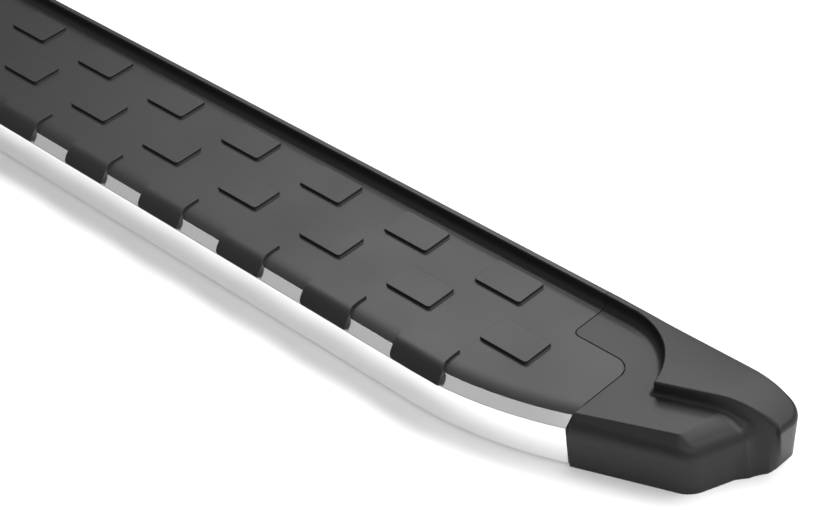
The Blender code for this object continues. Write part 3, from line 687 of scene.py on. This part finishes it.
def surface_nets(field, axes):
    """Vertices and quads of a field's zero surface."""
    inside = field < 0
    shape = tuple(size - 1 for size in field.shape)
    corners = [(i, j, k) for i in (0, 1) for j in (0, 1) for k in (0, 1)]
    count = np.zeros(shape, np.int8)
    for i, j, k in corners:
        count += inside[i:i + shape[0], j:j + shape[1], k:k + shape[2]]
    cells = np.argwhere((count > 0) & (count < 8))
    number = np.full(shape, -1, np.int64)
    number[tuple(cells.T)] = np.arange(len(cells))
    values = np.stack([field[tuple((cells + corner).T)] for corner in corners], axis=1)
    total = np.zeros((len(cells), 3))
    hits = np.zeros(len(cells))
    for first, start in enumerate(corners):
        for second, end in enumerate(corners):
            if second <= first or sum(abs(a - b) for a, b in zip(start, end)) != 1:
                continue
            low = values[:, first]
            high = values[:, second]
            cross = (low < 0) != (high < 0)
            share = np.where(cross, low / np.where(cross, low - high, 1.0), 0.0)
            place = np.array(start) + share[:, None] * (np.array(end) - np.array(start))
            total += place * cross[:, None]
            hits += cross
    local = total / hits[:, None]
    verts = np.empty_like(local)
    for axis in range(3):
        step = axes[axis][1] - axes[axis][0]
        verts[:, axis] = axes[axis][0] + (cells[:, axis] + local[:, axis]) * step
    quads = []
    for axis in range(3):
        others = [other for other in range(3) if other != axis]
        low = [slice(1, size - 1) for size in field.shape]
        high = [slice(1, size - 1) for size in field.shape]
        low[axis] = slice(0, field.shape[axis] - 1)
        high[axis] = slice(1, field.shape[axis])
        first = inside[tuple(low)]
        second = inside[tuple(high)]
        edges = np.argwhere(first != second)
        entering = second[tuple(edges.T)]
        edges = edges + 1
        edges[:, axis] -= 1
        loop = []
        for down_a, down_b in ((1, 1), (0, 1), (0, 0), (1, 0)):
            cell = edges.copy()
            cell[:, others[0]] -= down_a
            cell[:, others[1]] -= down_b
            loop.append(number[tuple(cell.T)])
        faces = np.stack(loop, axis=1)
        flip = entering if axis != 1 else ~entering
        faces[flip] = faces[flip][:, ::-1]
        quads.append(faces)
    return verts, np.concatenate(quads)


def cap_mesh():
    """The right-hand cap's mesh."""
    reach = ((0.6560, 0.8715), (0.0260, 0.1625), (-0.0015, 0.0675))
    axes = [np.arange(low, high, CAP_GRID) for low, high in reach]
    x, u, z = np.meshgrid(*axes, indexing="ij", sparse=True)
    x = np.broadcast_to(x, (x.shape[0], u.shape[1], 1))
    u = np.broadcast_to(u, (x.shape[0], u.shape[1], 1))
    verts, quads = surface_nets(cap_field(x, u, z), axes)
    verts[:, 1] += FACE_Y
    mesh = bpy.data.meshes.new("end_cap")
    mesh.from_pydata(verts.tolist(), [], quads.tolist())
    mesh.validate()
    mesh.shade_smooth()
    return mesh


def caps():
    """Both end caps; the left one is the right one's mirror image."""
    mesh = cap_mesh()
    piece("end_cap_right_moulding", mesh, "cap_plastic", "board", ["end_cap_right"])
    mirror = mesh.copy()
    mirror.materials.clear()
    shape = bmesh.new()
    shape.from_mesh(mirror)
    bmesh.ops.scale(shape, vec=(-1, 1, 1), verts=shape.verts)
    bmesh.ops.reverse_faces(shape, faces=shape.faces)
    shape.to_mesh(mirror)
    shape.free()
    piece("end_cap_left_moulding", mirror, "cap_plastic", "board", ["end_cap_left"])


# Carried-over CAD nodes

def finish_nodes():
    """Give the CAD nodes that stay visible their materials."""
    for name, node in NODES.items():
        if name.startswith(("channel_", "cap_screw")):
            finish = "zinc_steel"
        elif name.startswith(("main_beam", "trim_rivet")):
            finish = "mill_aluminium"
        else:
            continue
        for place in node.material_slots:
            place.material = FINISH[finish]


# Studio

SOFTBOXES = (  # sides in X and Y, height, and radiance; a sheet of white paper in full light is about 1
    ("softbox", (-2.00, 2.20), (0.75, 2.15), 2.05, 5.4),
    ("fill", (0.85, 2.95), (-2.05, -0.35), 1.90, 1.8),
    ("top", (0.20, 3.00), (0.45, 1.20), 2.05, 4.4),
)
ROOM_LIGHT = ((-1.0, 0.30), (0.00, 0.06), (0.12, 0.09), (0.40, 0.44), (0.60, 0.46), (0.85, 0.14))
SIDE_LIGHT = 0.75  # how much brighter the room is to the right
FLOOR_SHADE = 0.95
FLOOR_GLOW = 0.05


def studio():
    """The pale floor, the softboxes and a dim room around."""
    mesh = bpy.data.meshes.new("floor")
    mesh.from_pydata([(-15, -15, 0), (15, -15, 0), (15, 15, 0), (-15, 15, 0)], [], [(0, 1, 2, 3)])
    floor = bpy.data.objects.new("floor", mesh)
    bpy.context.scene.collection.objects.link(floor)
    made, _, shader = new_material("floor_paper", 0.9, 0.0)
    shader.inputs["Base Color"].default_value = (FLOOR_SHADE, FLOOR_SHADE, FLOOR_SHADE, 1.0)
    shader.inputs["Specular IOR Level"].default_value = 0.0
    shader.inputs["Emission Color"].default_value = (1.0, 1.0, 1.0, 1.0)
    shader.inputs["Emission Strength"].default_value = FLOOR_GLOW
    mesh.materials.append(made)
    for lamp in SOFTBOXES:
        softbox(*lamp)
    room()


def softbox(name, across, along, height, radiance):
    """A rectangular light facing down."""
    left, right = across
    front, back = along
    lamp = bpy.data.lights.new(name, "AREA")
    lamp.shape = "RECTANGLE"
    lamp.size = right - left
    lamp.size_y = back - front
    lamp.energy = radiance * math.pi * lamp.size * lamp.size_y
    made = bpy.data.objects.new(name, lamp)
    made.location = ((left + right) / 2, (front + back) / 2, height)
    bpy.context.scene.collection.objects.link(made)


def room():
    """A dim room: dark at the horizon and overhead, lighter between them and to the right."""
    world = bpy.data.worlds.new("studio")
    bpy.context.scene.world = world
    world.use_nodes = True
    tree = world.node_tree
    sky = tree.nodes["Background"]
    place = tree.nodes.new("ShaderNodeTexCoord")
    part = tree.nodes.new("ShaderNodeSeparateXYZ")
    tree.links.new(place.outputs["Generated"], part.inputs["Vector"])
    height = tree.nodes.new("ShaderNodeFloatCurve")
    line = height.mapping.curves[0]
    height.mapping.clip_min_x = -1.0
    for _ in ROOM_LIGHT[2:]:
        line.points.new(0.0, 0.0)
    for point, (z, light) in zip(line.points, ROOM_LIGHT):
        point.location = (z, light)
    height.mapping.update()
    tree.links.new(part.outputs["Z"], height.inputs["Value"])
    side = tree.nodes.new("ShaderNodeMapRange")
    side.interpolation_type = "SMOOTHSTEP"
    side.inputs["From Min"].default_value = 0.20
    side.inputs["From Max"].default_value = 0.95
    side.inputs["To Max"].default_value = SIDE_LIGHT
    tree.links.new(part.outputs["X"], side.inputs["Value"])
    total = tree.nodes.new("ShaderNodeMath")
    total.operation = "ADD"
    tree.links.new(height.outputs["Value"], total.inputs[0])
    tree.links.new(side.outputs["Result"], total.inputs[1])
    tree.links.new(total.outputs["Value"], sky.inputs["Strength"])
    sky.inputs["Color"].default_value = (1.0, 1.0, 1.0, 1.0)


def camera():
    """The view: from front right above, turned a little about its axis."""
    azimuth = math.radians(50.60)
    elevation = math.radians(38.31)
    roll = math.radians(-8.09)
    target = Vector((0.47736, 0.0232, 0.0523))
    distance = 1.9305
    right = Vector((math.cos(azimuth), math.sin(azimuth), 0))
    forward = Vector((-math.sin(azimuth) * math.cos(elevation), math.cos(azimuth) * math.cos(elevation),
                      -math.sin(elevation)))
    up = right.cross(forward)
    turned_right = right * math.cos(roll) + up * math.sin(roll)
    turned_up = up * math.cos(roll) - right * math.sin(roll)
    place = target - forward * distance
    lens = bpy.data.cameras.new("camera")
    lens.lens = 94.82
    lens.sensor_width = 36.0
    made = bpy.data.objects.new("camera", lens)
    bpy.context.scene.collection.objects.link(made)
    axes = Matrix((turned_right, turned_up, -forward)).transposed().to_4x4()
    made.matrix_world = Matrix.Translation(place) @ axes
    bpy.context.scene.camera = made


cover()
trim()
caps()
finish_nodes()
studio()
camera()
bpy.context.scene.view_settings.view_transform = "Standard"
